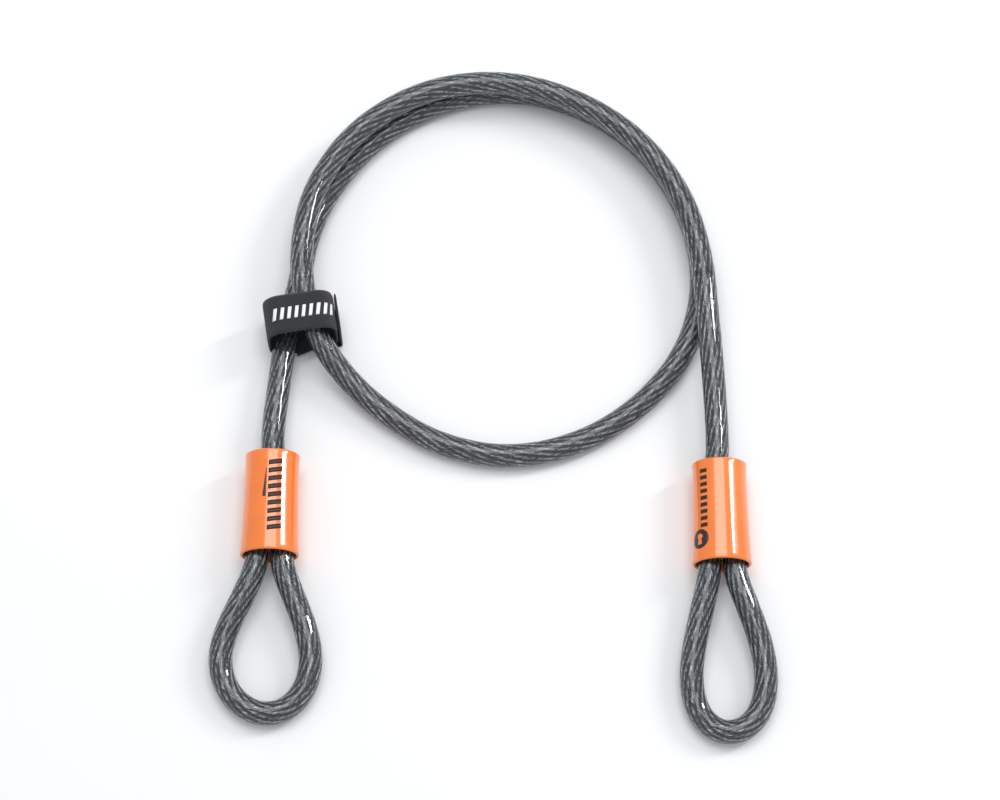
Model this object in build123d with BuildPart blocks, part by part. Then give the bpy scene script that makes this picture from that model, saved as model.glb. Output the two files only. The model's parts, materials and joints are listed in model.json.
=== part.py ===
"""Double-loop steel security cable with a hook-and-loop tie, modelled in millimetres.

The cable lies flat on a surface, wound one and a half turns. +Z is up, the two loop ends
point along -Y, and the origin is on the surface, under the middle of the whole object.
"""

import os
from math import cos, pi, radians, sin, tan

from build123d import *

# Cable
cable_diameter = 10.0
rope_diameter = 7.0
jacket_clearance = 0.05
run_share = 0.45

# Coil, one and a half turns about this centre
coil_centre_x = 5.7
coil_centre_y = 57.3

# End fittings: a crimped ferrule inside a coloured sleeve
left_fitting_x = -93.1
left_fitting_top = -29.2
right_fitting_x = 95.3
right_fitting_top = -33.2
leg_gap = 0.4
ferrule_length = 24.0
ferrule_side_wall = 1.1
ferrule_web = 4.0
ferrule_bore_clearance = 0.05
ferrule_setback = 16.0
neck_depth = 8.0
mouth_recess = 4.5
leg_overhang = 4.0
sleeve_wall = 1.5
sleeve_clearance = 0.1
sleeve_waist_swell = 0.2
sleeve_mouth_clearance = 0.8
sleeve_room = 1.5
sleeve_lift = 0.3
sleeve_rim_fillet = 0.5
waist_share = 0.55
crimp_count = 3
crimp_pitch = 7.5
crimp_width = 2.4
crimp_depth = 0.45
ferrule_chamfer = 0.6

# Hook-and-loop tie
strap_centre_x = -82.9
strap_centre_y = 31.8
strap_turn = 9.0
strap_width = 17.5
strap_thickness = 1.0
strap_inner_width = 28.2
strap_inner_height = 22.5
strap_corner = 7.0
tongue_tip = -3.5
tongue_corner = 2.3
tongue_edge = 9.0
layer_gap = 0.65
flap_length = 17.0
flap_gap = 0.3
hook_thickness = 0.35
hook_length = 12.0
hook_margin = 1.0

parts_folder = "parts"

# Sizes that follow from the ones above
jacket_bore = rope_diameter + 2 * jacket_clearance
leg_spacing = cable_diameter + leg_gap
ferrule_width = leg_spacing + rope_diameter + 2 * ferrule_side_wall
ferrule_depth = rope_diameter + 2 * ferrule_web
sleeve_length = ferrule_setback + ferrule_length + mouth_recess
sleeve_top_width = ferrule_width + 2 * (sleeve_clearance + sleeve_wall)
sleeve_waist_width = sleeve_top_width + sleeve_waist_swell
sleeve_mouth_width = leg_spacing + cable_diameter + 2 * (sleeve_mouth_clearance + sleeve_wall)
sleeve_depth = ferrule_depth + 2 * (sleeve_room + sleeve_wall)
fitting_height = sleeve_depth / 2 + sleeve_lift


def coil_point(angle, radius, height):
    """A point of the coil, from its bearing about the coil's centre."""
    x = coil_centre_x + radius * cos(radians(angle))
    y = coil_centre_y + radius * sin(radians(angle))
    return Vector(x, y, height)


# The cable's route from the left ferrule to the right one, points chosen by hand.
left_tail_points = [
    Vector(-93.3, -28.2, 10.4),
    Vector(-93.3, -15.2, 9.6),
    Vector(-92.0, -0.2, 8.9),
    Vector(-90.5, 15.8, 8.3),
    Vector(-88.5, 34.8, 8.1),
]
coil_stations = [
    (184.0, 90.2, 8.0),
    (169.0, 88.9, 7.5),
    (152.0, 88.6, 5.9),
    (131.0, 89.2, 5.0),
    (109.0, 91.2, 5.0),
    (87.0, 91.8, 5.0),
    (65.0, 89.9, 5.0),
    (43.0, 87.6, 5.0),
    (21.0, 86.0, 5.0),
    (-1.0, 86.5, 5.0),
    (-23.0, 86.3, 5.0),
    (-45.0, 84.8, 5.0),
    (-67.0, 85.0, 5.0),
    (-89.0, 85.7, 5.0),
    (-110.0, 84.5, 5.0),
    (-130.0, 83.4, 5.6),
    (-145.0, 85.2, 8.8),
    (-158.0, 87.8, 14.2),
    (-173.0, 88.7, 18.0),
    (-187.0, 89.5, 18.5),
    (-204.0, 92.0, 17.3),
    (-225.0, 93.8, 15.8),
    (-247.0, 93.6, 15.4),
    (-269.0, 90.9, 15.4),
    (-291.0, 87.0, 15.4),
    (-313.0, 85.0, 15.4),
    (-335.0, 84.3, 15.4),
    (-356.0, 84.9, 15.7),
]
right_tail_points = [
    Vector(92.1, 34.8, 14.9),
    Vector(93.6, 14.8, 13.0),
    Vector(94.4, -3.2, 11.6),
    Vector(94.9, -18.2, 11.0),
    Vector(94.7, -32.2, 10.8),
]

# Each loop's route between its straight legs, points chosen by hand, from its sleeve's mouth.
left_loop_offsets = [
    Vector(-10.6, -17.3, 9.4),
    Vector(-17.4, -31.5, 8.0),
    Vector(-20.0, -45.5, 6.6),
    Vector(-15.0, -58.5, 5.4),
    Vector(-4.8, -66.1, 5.0),
    Vector(7.0, -65.7, 5.0),
    Vector(15.8, -57.0, 5.5),
    Vector(18.7, -44.0, 6.8),
    Vector(15.7, -30.0, 8.2),
    Vector(10.1, -16.5, 9.5),
]
right_loop_offsets = [
    Vector(-8.7, -18.5, 9.0),
    Vector(-12.3, -33.5, 7.8),
    Vector(-14.2, -48.5, 6.6),
    Vector(-11.6, -62.0, 5.5),
    Vector(-3.6, -69.9, 5.0),
    Vector(7.0, -69.5, 5.0),
    Vector(14.9, -61.0, 5.5),
    Vector(17.5, -47.5, 6.6),
    Vector(15.4, -33.0, 8.0),
    Vector(10.5, -18.5, 9.6),
]


def bore_point(fitting_x, fitting_top, side, depth):
    """A point on the axis of one ferrule bore, a depth below the sleeve's top."""
    return Vector(fitting_x + side * leg_spacing / 2, fitting_top - depth, fitting_height)


def corner_radii(points):
    """The largest arc that the two runs at each corner allow."""
    radii = []
    for before, corner, after in zip(points, points[1:], points[2:]):
        run_in = corner - before
        run_out = after - corner
        half_turn = radians(run_in.get_angle(run_out)) / 2
        radii.append(run_share * min(run_in.length, run_out.length) / tan(half_turn))
    return radii


def tube(points, radii, outer, bore=0.0):
    """A round rod or tube along straight runs joined by tangent arcs."""
    with BuildPart() as piece:
        with BuildLine():
            route = FilletPolyline(*points, radius=radii)
        with BuildSketch(Plane(origin=route @ 0, z_dir=route % 0)):
            Circle(outer / 2)
            if bore:
                Circle(bore / 2, mode=Mode.SUBTRACT)
        sweep()
    return piece.part, route.length


def write_part(part, label):
    """Label one finished piece and write it to its own file."""
    part.label = label
    export_step(part, f"{parts_folder}/{label}.step")


def cable_route():
    """Every point of the cable from ferrule to ferrule, with its corner radii."""
    left = (left_fitting_x, left_fitting_top, 1)
    right = (right_fitting_x, right_fitting_top, -1)
    points = [bore_point(*left, ferrule_setback), bore_point(*left, neck_depth)]
    points += left_tail_points
    points += [coil_point(*station) for station in coil_stations]
    points += right_tail_points
    points += [bore_point(*right, neck_depth), bore_point(*right, ferrule_setback)]
    return points, corner_radii(points)


def stretch(points, radii, first, last):
    """The corners from first to last, cut off in the middle of the runs beyond them."""
    start = points[0] if first == 1 else (points[first - 1] + points[first]) / 2
    end = points[-1] if last == len(points) - 2 else (points[last] + points[last + 1]) / 2
    return [start] + points[first : last + 1] + [end], radii[first - 1 : last]


def make_rope(name, points, radii):
    """The steel rope of one stretch of cable."""
    rope, length = tube(points, radii, rope_diameter)
    write_part(rope, f"{name}_rope")
    share = rope.volume / (pi * rope_diameter**2 / 4 * length)
    print(f"{name}_rope: {length:.0f} mm, arcs {[round(radius) for radius in radii]}, {share:.4f}")


def make_jacket(name, points, radii):
    """The clear vinyl jacket over one stretch of rope."""
    jacket, length = tube(points, radii, cable_diameter, jacket_bore)
    write_part(jacket, f"{name}_jacket")
    share = jacket.volume / (pi * (cable_diameter**2 - jacket_bore**2) / 4 * length)
    print(f"{name}_jacket: {length:.0f} mm, volume over section times length {share:.4f}")


def make_loop(name, fitting_x, fitting_top, loop_offsets):
    """The loop at one end: the rope turns back and both its legs sit in the ferrule."""
    depths = (ferrule_setback, ferrule_setback + ferrule_length, sleeve_length + leg_overhang)
    left = [bore_point(fitting_x, fitting_top, -1, depth) for depth in depths]
    right = [bore_point(fitting_x, fitting_top, 1, depth) for depth in depths]
    mouth = Vector(fitting_x, fitting_top - sleeve_length, 0)
    corners = [left[2], *[mouth + offset for offset in loop_offsets], right[2]]
    radii = corner_radii([left[1], *corners, right[1]])
    make_rope(name, [left[0], *corners, right[0]], radii)
    make_jacket(name, [left[1], *corners, right[1]], radii)


def make_ferrule(name, fitting_x, fitting_top):
    """The oval aluminium ferrule, with a bore for each leg and pressed crimp marks."""
    top = Plane(
        origin=(fitting_x, fitting_top - ferrule_setback, fitting_height),
        x_dir=(1, 0, 0),
        z_dir=(0, -1, 0),
    )
    crimp_start = ferrule_length / 2 - crimp_pitch * (crimp_count - 1) / 2 - crimp_width / 2
    with BuildPart() as ferrule:
        with BuildSketch(top):
            SlotOverall(ferrule_width, ferrule_depth)
        extrude(amount=ferrule_length)
        chamfer(ferrule.faces().group_by(Axis.Y)[0].edges(), ferrule_chamfer)
        chamfer(ferrule.faces().group_by(Axis.Y)[-1].edges(), ferrule_chamfer)
        for crimp in range(crimp_count):
            with BuildSketch(top.offset(crimp_start + crimp * crimp_pitch)):
                SlotOverall(ferrule_width + 1, ferrule_depth + 1)
                crimped_width = ferrule_width - 2 * crimp_depth
                crimped_depth = ferrule_depth - 2 * crimp_depth
                SlotOverall(crimped_width, crimped_depth, mode=Mode.SUBTRACT)
            extrude(amount=crimp_width, mode=Mode.SUBTRACT)
        with BuildSketch(top):
            with GridLocations(leg_spacing, 0, 2, 1):
                Circle(rope_diameter / 2 + ferrule_bore_clearance)
        extrude(amount=ferrule_length, mode=Mode.SUBTRACT)
    write_part(ferrule.part, f"{name}_ferrule")


def make_sleeve(name, fitting_x, fitting_top):
    """The coloured sleeve over the ferrule, open at both ends and wider at its mouth."""
    top = Plane(origin=(fitting_x, fitting_top, fitting_height), x_dir=(1, 0, 0), z_dir=(0, -1, 0))
    sections = [
        (0.0, sleeve_top_width),
        (sleeve_length * waist_share, sleeve_waist_width),
        (sleeve_length, sleeve_mouth_width),
    ]
    with BuildPart() as sleeve:
        for depth, width in sections:
            with BuildSketch(top.offset(depth)):
                Ellipse(width / 2, sleeve_depth / 2)
        loft()
        for depth, width in sections:
            with BuildSketch(top.offset(depth)):
                Ellipse(width / 2 - sleeve_wall, sleeve_depth / 2 - sleeve_wall)
        loft(mode=Mode.SUBTRACT)
        rims = sleeve.faces().filter_by(GeomType.PLANE).edges()
        fillet(rims, sleeve_rim_fillet)
    write_part(sleeve.part, f"{name}_sleeve")


def strap_plane():
    """The tie's own plane: x across both strands, y up, and z out of its lower edge."""
    turn = radians(strap_turn)
    return Plane(
        origin=(strap_centre_x, strap_centre_y, 0),
        x_dir=(cos(turn), sin(turn), 0),
        z_dir=(sin(turn), -cos(turn), 0),
    )


def make_strap():
    """The hook-and-loop tie: a band round both strands and the flap that closes it."""
    half = strap_thickness / 2
    side = strap_inner_width / 2 + half
    lid = strap_thickness + strap_inner_height + half
    layer = strap_thickness + layer_gap
    fold = side + layer
    band_points = [
        (tongue_tip, half + layer),
        (side, half + layer),
        (side, lid),
        (-side, lid),
        (-side, half),
        (fold - strap_thickness - flap_gap, half),
    ]
    band_arcs = [strap_corner - layer, strap_corner, strap_corner, strap_corner]
    section = strap_plane()
    tongue_floor = Plane(origin=section.origin, x_dir=section.x_dir, z_dir=(0, 0, 1)).offset(layer)
    edge = -strap_width / 2
    with BuildPart() as band:
        with BuildSketch(section):
            with BuildLine():
                FilletPolyline(*band_points, radius=band_arcs)
                offset(amount=half, side=Side.BOTH)
            make_face()
        extrude(amount=strap_width / 2, both=True)
        with BuildSketch(tongue_floor):
            with BuildLine():
                Polyline(
                    (tongue_tip - tongue_corner, edge + tongue_corner / 2),
                    (tongue_tip, edge - tongue_corner),
                    (tongue_tip + tongue_edge, edge + tongue_corner / 2),
                    close=True,
                )
            make_face()
        extrude(amount=strap_thickness)
    write_part(band.part, "strap_band")

    with BuildPart() as flap:
        with BuildSketch(section):
            with Locations((fold, half)):
                Rectangle(strap_thickness, flap_length, align=(Align.CENTER, Align.MIN))
        extrude(amount=strap_width / 2, both=True)
        fillet(flap.faces().sort_by(Axis.Z)[-1].edges().sort_by(Axis.Y)[0], strap_thickness / 3)
        fillet(flap.faces().sort_by(Axis.Z)[-1].edges().sort_by(Axis.Y)[-1], strap_thickness / 3)
    write_part(flap.part, "strap_flap")

    with BuildPart() as hooks:
        with BuildSketch(section):
            with Locations((fold - half, half + flap_length - hook_margin)):
                Rectangle(hook_thickness, hook_length, align=(Align.MAX, Align.MAX))
        extrude(amount=strap_width / 2 - hook_margin, both=True)
    write_part(hooks.part, "flap_hooks")


def main():
    os.makedirs(parts_folder, exist_ok=True)
    points, radii = cable_route()
    neck = 1
    left_end = len(left_tail_points)
    right_start = len(points) - len(right_tail_points)
    right_neck = len(points) - 2
    make_rope("left_tail", *stretch(points, radii, neck, left_end))
    make_jacket("left_tail", *stretch(points, radii, neck + 1, left_end))
    make_rope("coil", *stretch(points, radii, left_end + 1, right_start - 1))
    make_jacket("coil", *stretch(points, radii, left_end + 1, right_start - 1))
    make_rope("right_tail", *stretch(points, radii, right_start, right_neck))
    make_jacket("right_tail", *stretch(points, radii, right_start, right_neck - 1))
    fittings = [
        ("left", left_fitting_x, left_fitting_top, left_loop_offsets),
        ("right", right_fitting_x, right_fitting_top, right_loop_offsets),
    ]
    for name, fitting_x, fitting_top, loop_offsets in fittings:
        make_loop(f"{name}_loop", fitting_x, fitting_top, loop_offsets)
        make_ferrule(name, fitting_x, fitting_top)
        make_sleeve(name, fitting_x, fitting_top)
    make_strap()


main()
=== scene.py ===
"""A double-loop security cable with a hook-and-loop tie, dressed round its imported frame.

Every size is in metres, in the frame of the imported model: +Z is up, the cable lies on the
floor and its two loop ends point along -Y.
"""

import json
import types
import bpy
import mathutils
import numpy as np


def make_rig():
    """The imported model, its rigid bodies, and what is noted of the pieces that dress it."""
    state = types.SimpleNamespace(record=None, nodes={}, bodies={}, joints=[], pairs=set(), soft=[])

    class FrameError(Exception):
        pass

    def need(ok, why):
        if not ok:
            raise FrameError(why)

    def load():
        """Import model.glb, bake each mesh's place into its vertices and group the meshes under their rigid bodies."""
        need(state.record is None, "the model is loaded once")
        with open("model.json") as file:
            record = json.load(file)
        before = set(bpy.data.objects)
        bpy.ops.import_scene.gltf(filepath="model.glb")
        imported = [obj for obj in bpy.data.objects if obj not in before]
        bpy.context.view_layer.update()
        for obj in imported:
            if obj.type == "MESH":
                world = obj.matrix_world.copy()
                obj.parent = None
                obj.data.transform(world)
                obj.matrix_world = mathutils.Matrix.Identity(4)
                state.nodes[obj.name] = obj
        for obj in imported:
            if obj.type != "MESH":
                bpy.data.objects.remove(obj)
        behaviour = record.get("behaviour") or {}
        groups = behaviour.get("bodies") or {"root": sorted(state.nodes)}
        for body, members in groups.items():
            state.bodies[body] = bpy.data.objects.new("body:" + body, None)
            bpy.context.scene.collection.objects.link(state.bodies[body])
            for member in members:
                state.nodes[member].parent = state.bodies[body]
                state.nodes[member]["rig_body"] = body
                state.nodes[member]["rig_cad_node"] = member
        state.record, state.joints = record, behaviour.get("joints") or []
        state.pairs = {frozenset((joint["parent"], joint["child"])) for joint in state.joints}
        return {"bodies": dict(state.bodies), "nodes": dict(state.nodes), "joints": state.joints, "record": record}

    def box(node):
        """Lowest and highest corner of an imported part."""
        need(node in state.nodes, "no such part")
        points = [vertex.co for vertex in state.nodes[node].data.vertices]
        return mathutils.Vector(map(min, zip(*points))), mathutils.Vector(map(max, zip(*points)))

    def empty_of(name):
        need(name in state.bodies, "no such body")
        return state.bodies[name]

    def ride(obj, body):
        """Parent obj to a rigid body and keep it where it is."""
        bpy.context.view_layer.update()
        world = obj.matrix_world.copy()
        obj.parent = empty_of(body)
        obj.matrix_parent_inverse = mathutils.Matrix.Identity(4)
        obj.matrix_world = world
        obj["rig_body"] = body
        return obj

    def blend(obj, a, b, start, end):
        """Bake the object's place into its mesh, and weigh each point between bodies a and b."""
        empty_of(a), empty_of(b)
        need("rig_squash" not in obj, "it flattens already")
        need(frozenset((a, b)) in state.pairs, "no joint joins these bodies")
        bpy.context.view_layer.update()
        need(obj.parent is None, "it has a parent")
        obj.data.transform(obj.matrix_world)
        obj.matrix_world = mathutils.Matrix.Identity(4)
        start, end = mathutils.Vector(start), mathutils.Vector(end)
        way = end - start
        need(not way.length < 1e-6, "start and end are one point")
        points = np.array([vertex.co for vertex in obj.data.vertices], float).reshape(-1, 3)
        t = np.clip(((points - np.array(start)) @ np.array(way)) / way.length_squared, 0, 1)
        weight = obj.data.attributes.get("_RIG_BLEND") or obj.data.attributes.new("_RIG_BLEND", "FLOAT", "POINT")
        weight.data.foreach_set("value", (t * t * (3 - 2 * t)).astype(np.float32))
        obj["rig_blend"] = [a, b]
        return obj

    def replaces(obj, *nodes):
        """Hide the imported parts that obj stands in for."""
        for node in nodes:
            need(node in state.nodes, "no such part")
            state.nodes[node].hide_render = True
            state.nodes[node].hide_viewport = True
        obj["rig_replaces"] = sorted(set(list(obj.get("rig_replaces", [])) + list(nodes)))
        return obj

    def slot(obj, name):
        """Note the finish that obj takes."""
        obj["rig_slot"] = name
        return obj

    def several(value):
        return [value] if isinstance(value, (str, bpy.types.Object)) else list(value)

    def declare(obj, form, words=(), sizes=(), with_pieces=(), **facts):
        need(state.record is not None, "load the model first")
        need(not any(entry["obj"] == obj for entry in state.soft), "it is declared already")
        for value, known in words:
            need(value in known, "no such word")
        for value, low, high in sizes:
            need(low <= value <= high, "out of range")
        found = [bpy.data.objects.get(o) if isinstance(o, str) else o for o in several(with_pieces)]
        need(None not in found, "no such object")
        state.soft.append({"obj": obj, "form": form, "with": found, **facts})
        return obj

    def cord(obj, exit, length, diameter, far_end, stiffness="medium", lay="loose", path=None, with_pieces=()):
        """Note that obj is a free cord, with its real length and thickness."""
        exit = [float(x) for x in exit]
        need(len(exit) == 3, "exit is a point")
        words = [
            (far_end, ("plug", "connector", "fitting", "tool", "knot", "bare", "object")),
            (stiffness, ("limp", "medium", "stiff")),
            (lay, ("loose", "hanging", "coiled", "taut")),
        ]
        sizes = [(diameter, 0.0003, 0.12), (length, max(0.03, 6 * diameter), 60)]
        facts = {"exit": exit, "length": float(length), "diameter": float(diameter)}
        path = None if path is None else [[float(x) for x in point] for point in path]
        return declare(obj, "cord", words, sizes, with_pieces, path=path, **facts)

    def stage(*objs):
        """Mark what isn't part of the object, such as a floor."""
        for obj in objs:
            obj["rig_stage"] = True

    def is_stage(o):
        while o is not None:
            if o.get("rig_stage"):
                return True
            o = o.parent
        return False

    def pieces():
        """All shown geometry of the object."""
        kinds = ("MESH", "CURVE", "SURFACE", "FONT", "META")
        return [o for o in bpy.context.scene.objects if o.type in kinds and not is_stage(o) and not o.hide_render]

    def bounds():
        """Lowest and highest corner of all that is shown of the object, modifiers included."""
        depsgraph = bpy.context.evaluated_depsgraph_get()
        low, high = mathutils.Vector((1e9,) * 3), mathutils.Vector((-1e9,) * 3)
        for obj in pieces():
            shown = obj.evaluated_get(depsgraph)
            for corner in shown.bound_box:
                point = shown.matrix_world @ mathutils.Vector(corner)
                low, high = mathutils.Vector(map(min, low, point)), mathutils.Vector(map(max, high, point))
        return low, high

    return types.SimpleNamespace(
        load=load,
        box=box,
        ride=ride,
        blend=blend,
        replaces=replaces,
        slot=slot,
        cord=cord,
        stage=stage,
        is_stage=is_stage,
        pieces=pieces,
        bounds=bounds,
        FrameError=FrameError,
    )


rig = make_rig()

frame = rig.load()
cad_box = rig.bounds()

import json
from math import acos, cos, pi, radians, sin, sqrt, tan
from random import Random

import bmesh
import bpy
from mathutils import Vector, noise

bl_info = {
    "name": "Loop Cable Builder",
    "version": (1, 0, 0),
    "blender": (4, 5, 0),
    "location": "View3D > Sidebar > Loop Cable",
    "description": "Builds a looped steel cable, its end sleeves and its tie",
    "category": "Add Mesh",
}

UP = Vector((0, 0, 1))

# The cable's route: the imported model's own points, in metres
coil_centre = Vector((0.0057, 0.0573, 0))
left_tail_points = [
    (-0.0933, -0.0282, 0.0104),
    (-0.0933, -0.0152, 0.0096),
    (-0.0920, -0.0002, 0.0089),
    (-0.0905, 0.0158, 0.0083),
    (-0.0885, 0.0348, 0.0081),
]
coil_stations = [
    (184.0, 0.0902, 0.0080),
    (169.0, 0.0889, 0.0075),
    (152.0, 0.0886, 0.0059),
    (131.0, 0.0892, 0.0050),
    (109.0, 0.0912, 0.0050),
    (87.0, 0.0918, 0.0050),
    (65.0, 0.0899, 0.0050),
    (43.0, 0.0876, 0.0050),
    (21.0, 0.0860, 0.0050),
    (-1.0, 0.0865, 0.0050),
    (-23.0, 0.0863, 0.0050),
    (-45.0, 0.0848, 0.0050),
    (-67.0, 0.0850, 0.0050),
    (-89.0, 0.0857, 0.0050),
    (-110.0, 0.0845, 0.0050),
    (-130.0, 0.0834, 0.0056),
    (-145.0, 0.0852, 0.0088),
    (-158.0, 0.0878, 0.0142),
    (-173.0, 0.0887, 0.0180),
    (-187.0, 0.0895, 0.0185),
    (-204.0, 0.0920, 0.0173),
    (-225.0, 0.0938, 0.0158),
    (-247.0, 0.0936, 0.0154),
    (-269.0, 0.0909, 0.0154),
    (-291.0, 0.0870, 0.0154),
    (-313.0, 0.0850, 0.0154),
    (-335.0, 0.0843, 0.0154),
    (-356.0, 0.0849, 0.0157),
]
right_tail_points = [
    (0.0921, 0.0348, 0.0149),
    (0.0936, 0.0148, 0.0130),
    (0.0944, -0.0032, 0.0116),
    (0.0949, -0.0182, 0.0110),
    (0.0947, -0.0322, 0.0108),
]

# Each loop's points, from the middle of its sleeve's mouth at floor height
loop_offsets = {
    "left": [
        (-0.0106, -0.0173, 0.0094),
        (-0.0174, -0.0315, 0.0080),
        (-0.0200, -0.0455, 0.0066),
        (-0.0150, -0.0585, 0.0054),
        (-0.0048, -0.0661, 0.0050),
        (0.0070, -0.0657, 0.0050),
        (0.0158, -0.0570, 0.0055),
        (0.0187, -0.0440, 0.0068),
        (0.0157, -0.0300, 0.0082),
        (0.0101, -0.0165, 0.0095),
    ],
    "right": [
        (-0.0087, -0.0185, 0.0090),
        (-0.0123, -0.0335, 0.0078),
        (-0.0142, -0.0485, 0.0066),
        (-0.0116, -0.0620, 0.0055),
        (-0.0036, -0.0699, 0.0050),
        (0.0070, -0.0695, 0.0050),
        (0.0149, -0.0610, 0.0055),
        (0.0175, -0.0475, 0.0066),
        (0.0154, -0.0330, 0.0080),
        (0.0105, -0.0185, 0.0096),
    ],
}

# End fittings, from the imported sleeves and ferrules
sides = ("left", "right")
sleeve_boxes = {side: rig.box(f"{side}_sleeve") for side in sides}
ferrule_boxes = {side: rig.box(f"{side}_ferrule") for side in sides}
leg_spacing = 0.0104
neck_depth = 0.008
leg_overhang = 0.004


def fitting_axis(side):
    """The middle of one sleeve's top: x and y of its end, z of its axis."""
    low, high = sleeve_boxes[side]
    return Vector(((low.x + high.x) / 2, high.y, (low.z + high.z) / 2))


def sleeve_length(side):
    low, high = sleeve_boxes[side]
    return high.y - low.y


def ferrule_depths(side):
    """How far the ferrule's two ends lie below the sleeve's top."""
    top = sleeve_boxes[side][1].y
    low, high = ferrule_boxes[side]
    return top - high.y, top - low.y


def bore_point(side, leg, depth):
    """A point on the axis of one ferrule bore, a depth below the sleeve's top."""
    top = fitting_axis(side)
    return (top.x + leg * leg_spacing / 2, top.y - depth, top.z)


def coil_point(bearing, radius, height):
    """A point of the coil, from its bearing about the coil's centre."""
    x = coil_centre.x + radius * cos(radians(bearing))
    y = coil_centre.y + radius * sin(radians(bearing))
    return (x, y, height)


def main_route():
    """Every point of the cable from the left ferrule to the right one."""
    left_leg = [bore_point("left", 1, depth) for depth in (ferrule_depths("left")[0], neck_depth)]
    right_leg = [bore_point("right", -1, depth) for depth in (neck_depth, ferrule_depths("right")[0])]
    coil = [coil_point(*station) for station in coil_stations]
    return left_leg + left_tail_points + coil + right_tail_points + right_leg


def loop_route(side):
    """Every point of one loop, from its ferrule round to its ferrule again."""
    depths = (*ferrule_depths(side), sleeve_length(side) + leg_overhang)
    out = [bore_point(side, -1, depth) for depth in depths]
    back = [bore_point(side, 1, depth) for depth in reversed(depths)]
    top = fitting_axis(side)
    mouth = Vector((top.x, top.y - sleeve_length(side), 0))
    return out + [tuple(mouth + Vector(offset)) for offset in loop_offsets[side]] + back


# ---------------------------------------------------------------- settings


def colour_setting(name, description, default):
    return bpy.props.FloatVectorProperty(
        name=name, description=description, default=default, size=3, min=0, max=1, subtype="COLOR"
    )


def length_setting(name, description, default):
    return bpy.props.FloatProperty(
        name=name, description=description, default=default, min=0, precision=5, unit="LENGTH"
    )


class CableSettings(bpy.types.PropertyGroup):
    """Sizes and colours of the jacketed rope."""

    jacket_diameter: length_setting("Jacket diameter", "Outside of the clear jacket", 0.010)
    rope_diameter: length_setting("Rope diameter", "Outside of the steel rope", 0.007)
    strand_lay: length_setting("Strand lay", "Length of one turn of a strand", 0.090)
    wire_lay: length_setting("Wire lay", "Length of one turn of a wire in its strand", 0.020)
    strands: bpy.props.IntProperty(
        name="Strands", description="Strands round the core", default=10, min=4, max=16
    )
    wires: bpy.props.IntProperty(
        name="Wires", description="Outer wires in each strand", default=10, min=5, max=24
    )
    jacket_colour: colour_setting("Jacket", "Surface tint of the clear vinyl", (0.95, 0.97, 0.98))
    smoke_colour: colour_setting("Smoke", "Light that thick vinyl lets through", (0.10, 0.16, 0.18))
    smoke: bpy.props.FloatProperty(
        name="Smoke density", description="How fast the vinyl darkens what is in it", default=45, min=0
    )
    # The steel's own colour also makes its painted glints; the near-black one is painted shade between the wires.
    steel_colour: colour_setting("Steel", "Colour of the bright wires", (0.86, 0.89, 0.91))
    steel_shade: colour_setting("Dull steel", "Colour of the dull wires", (0.036, 0.042, 0.047))
    # The dark core is painted shade: a dark cylinder under the strands stands in for the shade between them.
    core_diameter: length_setting("Core diameter", "Dark core that the strands lie on", 0.00665)
    core_colour: colour_setting("Core", "Colour of the dark core", (0.026, 0.030, 0.033))


class FittingSettings(bpy.types.PropertyGroup):
    """Sizes and colours of the sleeves and ferrules."""

    sleeve_wall: length_setting("Wall", "Thickness of the sleeve", 0.0015)
    mouth_flare: length_setting("Mouth flare", "How much wider each side of the mouth is", 0.0010)
    top_flare: length_setting("Top flare", "How far the top rim stands out", 0.0003)
    sleeve_colour: colour_setting("Sleeve", "Colour of the sleeve", (0.92, 0.205, 0.018))
    print_colour: colour_setting("Print", "Colour of the printed marks", (0.030, 0.012, 0.010))
    ferrule_colour: colour_setting("Ferrule", "Colour of the crimped metal", (0.70, 0.70, 0.72))


class TieSettings(bpy.types.PropertyGroup):
    """Sizes and colours of the hook-and-loop tie."""

    rib_pitch: length_setting("Rib pitch", "Distance between woven ribs", 0.0010)
    rib_height: length_setting("Rib height", "Depth of the woven ribs", 0.00012)
    fabric_colour: colour_setting("Fabric", "Colour of the woven tape", (0.017, 0.017, 0.019))
    print_colour: colour_setting("Print", "Colour of the printed bars", (0.80, 0.80, 0.80))
    hook_colour: colour_setting("Hooks", "Colour of the moulded hooks", (0.020, 0.020, 0.022))


class StageSettings(bpy.types.PropertyGroup):
    """The floor, the lamps and the camera."""

    floor_colour: colour_setting("Floor", "Colour of the floor", (0.90, 0.90, 0.90))
    overhead_power: bpy.props.FloatProperty(
        name="Overhead lamp", description="Power of the overhead lamp", default=8.5, min=0, unit="POWER"
    )
    strip_power: bpy.props.FloatProperty(
        name="Strip lamp", description="Power of the strip lamp", default=17.0, min=0, unit="POWER"
    )
    elevation: bpy.props.FloatProperty(
        name="Elevation",
        description="Height of the camera above the horizon",
        default=radians(68),
        subtype="ANGLE",
    )
    distance: length_setting("Distance", "From the camera to the cable", 1.1945)


# ---------------------------------------------------------------- materials


def new_finish(name):
    """A node material with a Principled shader, and a short way to add nodes to it."""
    material = bpy.data.materials.new(name)
    material.use_nodes = True
    tree = material.node_tree
    shader = tree.nodes["Principled BSDF"]

    def add(kind, **values):
        node = tree.nodes.new(kind)
        for key, value in values.items():
            if key in node.inputs:
                node.inputs[key].default_value = value
            else:
                setattr(node, key, value)
        return node

    return material, tree.links.new, shader, add


def opaque(colour, share=1.0):
    return (colour[0] * share, colour[1] * share, colour[2] * share, 1.0)


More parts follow.
